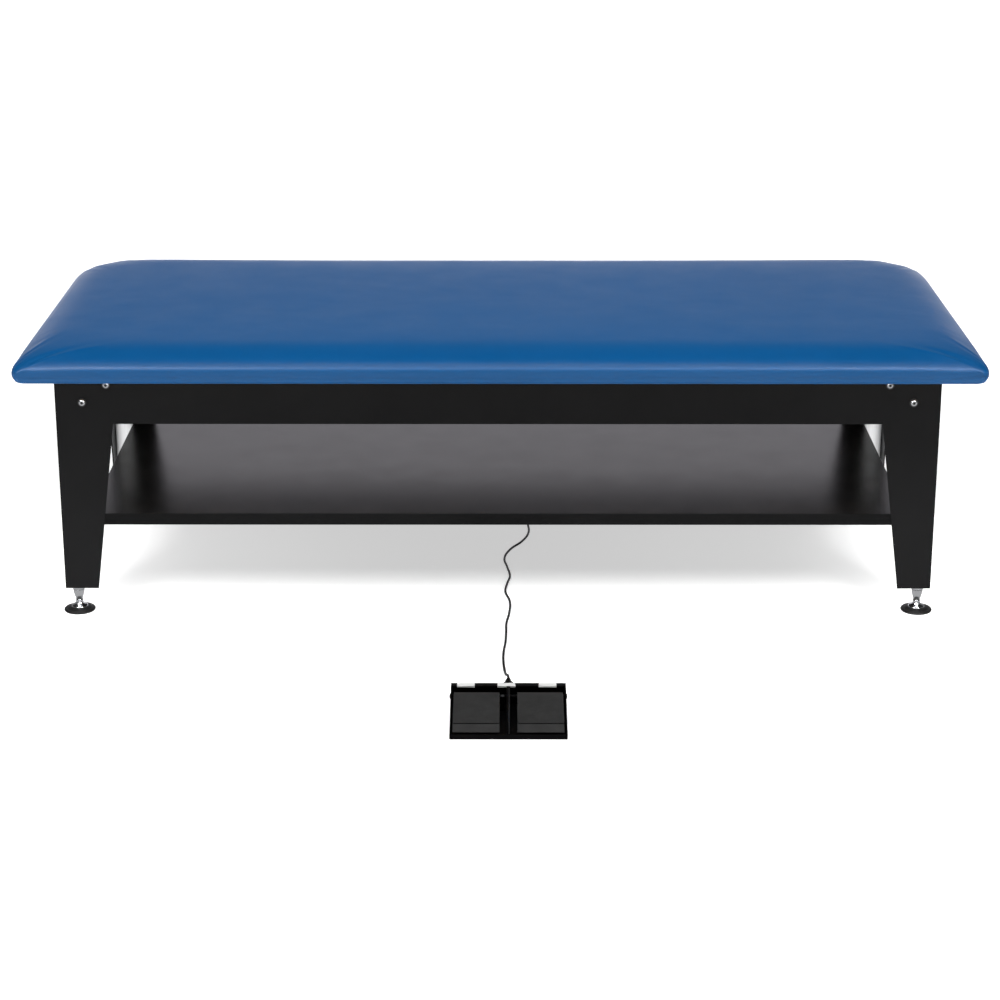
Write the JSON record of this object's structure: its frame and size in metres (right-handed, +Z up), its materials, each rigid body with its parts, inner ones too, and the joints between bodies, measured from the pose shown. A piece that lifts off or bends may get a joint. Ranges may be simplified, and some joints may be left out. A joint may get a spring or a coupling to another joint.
{
  "type": "medical exam table",
  "caption": "Height-adjustable padded exam table on tapered folded steel legs with telescopic lift columns, a storage shelf and a corded double foot switch.",
  "frame": {"origin": "on the floor, at the middle of the footprint of the table together with its foot switch", "axes": "+X along the table towards its right end as seen from the foot switch, +Y from the foot switch towards the table, +Z up"},
  "size_m": [1.981, 1.491, 0.5823],
  "materials": {
    "vinyl": "satin",
    "plywood": "matte",
    "black_steel": "satin",
    "zinc": "satin",
    "silver_tube": "satin",
    "rod_chrome": "polished",
    "bolt_chrome": "polished",
    "foot_rubber": "matte",
    "black_rubber": "matte",
    "black_plastic": "satin",
    "motor_grey": "satin"
  },
  "bodies": {
    "floor_stand": {"front_left_rod": "rod_chrome", "front_right_rod": "rod_chrome", "rear_left_rod": "rod_chrome", "rear_right_rod": "rod_chrome", "switch_base": "black_plastic", "hinge_pin": "zinc", "switch_strain_relief": "black_rubber", "lead_floor_run": "black_rubber", "lead_drop": "black_rubber", "lead_coil": "black_rubber"},
    "table_frame": {"cushion": "vinyl", "top_board": "plywood", "front_panel": "black_steel", "rear_panel": "black_steel", "left_end_panel": "black_steel", "right_end_panel": "black_steel", "shelf": "black_steel", "left_cross_rail": "black_steel", "right_cross_rail": "black_steel", "control_box": "black_plastic", "control_box_lid": "black_plastic", "power_inlet": "black_plastic", "lead_gland": "black_rubber", "motor_loom": "black_rubber", "front_left_bracket": "zinc", "front_left_bolts": "bolt_chrome", "front_left_tube": "silver_tube", "front_left_gearmotor": "motor_grey", "front_left_shelf_bracket": "black_steel", "front_right_bracket": "zinc", "front_right_bolts": "bolt_chrome", "front_right_tube": "silver_tube", "front_right_gearmotor": "motor_grey", "front_right_shelf_bracket": "black_steel", "rear_left_bracket": "zinc", "rear_left_bolts": "bolt_chrome", "rear_left_tube": "silver_tube", "rear_left_gearmotor": "motor_grey", "rear_left_shelf_bracket": "black_steel", "rear_right_bracket": "zinc", "rear_right_bolts": "bolt_chrome", "rear_right_tube": "silver_tube", "rear_right_gearmotor": "motor_grey", "rear_right_shelf_bracket": "black_steel"},
    "front_left_screw": {"front_left_spindle": "zinc"},
    "front_left_foot": {"front_left_levelling_stem": "rod_chrome", "front_left_foot_pad": "foot_rubber"},
    "front_right_screw": {"front_right_spindle": "zinc"},
    "front_right_foot": {"front_right_levelling_stem": "rod_chrome", "front_right_foot_pad": "foot_rubber"},
    "rear_left_screw": {"rear_left_spindle": "zinc"},
    "rear_left_foot": {"rear_left_levelling_stem": "rod_chrome", "rear_left_foot_pad": "foot_rubber"},
    "rear_right_screw": {"rear_right_spindle": "zinc"},
    "rear_right_foot": {"rear_right_levelling_stem": "rod_chrome", "rear_right_foot_pad": "foot_rubber"},
    "left_pedal": {"left_treadle": "black_plastic", "left_treadle_spring": "zinc"},
    "right_pedal": {"right_treadle": "black_plastic", "right_treadle_spring": "zinc"}
  },
  "joints": [
    {"name": "lift", "type": "slide", "parent": "floor_stand", "child": "table_frame", "axis": [0, 0, 1], "range_m": [0, 0.28]},
    {"name": "front_left_screw_turn", "type": "hinge", "parent": "table_frame", "child": "front_left_screw", "pos_m": [-0.891, -0.069, 0.27], "axis": [0, 0, 1], "range_deg": [0, 10085]},
    {"name": "front_left_foot_level", "type": "slide", "parent": "floor_stand", "child": "front_left_foot", "axis": [0, 0, -1], "range_m": [0, 0.012]},
    {"name": "front_right_screw_turn", "type": "hinge", "parent": "table_frame", "child": "front_right_screw", "pos_m": [0.891, -0.069, 0.27], "axis": [0, 0, 1], "range_deg": [0, 10085]},
    {"name": "front_right_foot_level", "type": "slide", "parent": "floor_stand", "child": "front_right_foot", "axis": [0, 0, -1], "range_m": [0, 0.012]},
    {"name": "rear_left_screw_turn", "type": "hinge", "parent": "table_frame", "child": "rear_left_screw", "pos_m": [-0.891, 0.646, 0.27], "axis": [0, 0, 1], "range_deg": [0, 10085]},
    {"name": "rear_left_foot_level", "type": "slide", "parent": "floor_stand", "child": "rear_left_foot", "axis": [0, 0, -1], "range_m": [0, 0.012]},
    {"name": "rear_right_screw_turn", "type": "hinge", "parent": "table_frame", "child": "rear_right_screw", "pos_m": [0.891, 0.646, 0.27], "axis": [0, 0, 1], "range_deg": [0, 10085]},
    {"name": "rear_right_foot_level", "type": "slide", "parent": "floor_stand", "child": "rear_right_foot", "axis": [0, 0, -1], "range_m": [0, 0.012]},
    {"name": "left_pedal_press", "type": "hinge", "parent": "floor_stand", "child": "left_pedal", "pos_m": [0.0215, -0.6085, 0.03], "axis": [1, 0, 0], "range_deg": [0, 3.5], "stiffness_Nm_per_rad": 5, "springref_deg": -5.73},
    {"name": "right_pedal_press", "type": "hinge", "parent": "floor_stand", "child": "right_pedal", "pos_m": [0.0215, -0.6085, 0.03], "axis": [1, 0, 0], "range_deg": [0, 3.5], "stiffness_Nm_per_rad": 5, "springref_deg": -5.73}
  ],
  "couplings": [
    {"joint": "front_left_screw_turn", "follows": "lift", "rad_per_m": 628.32},
    {"joint": "front_right_screw_turn", "follows": "lift", "rad_per_m": 628.32},
    {"joint": "rear_left_screw_turn", "follows": "lift", "rad_per_m": 628.32},
    {"joint": "rear_right_screw_turn", "follows": "lift", "rad_per_m": 628.32}
  ]
}
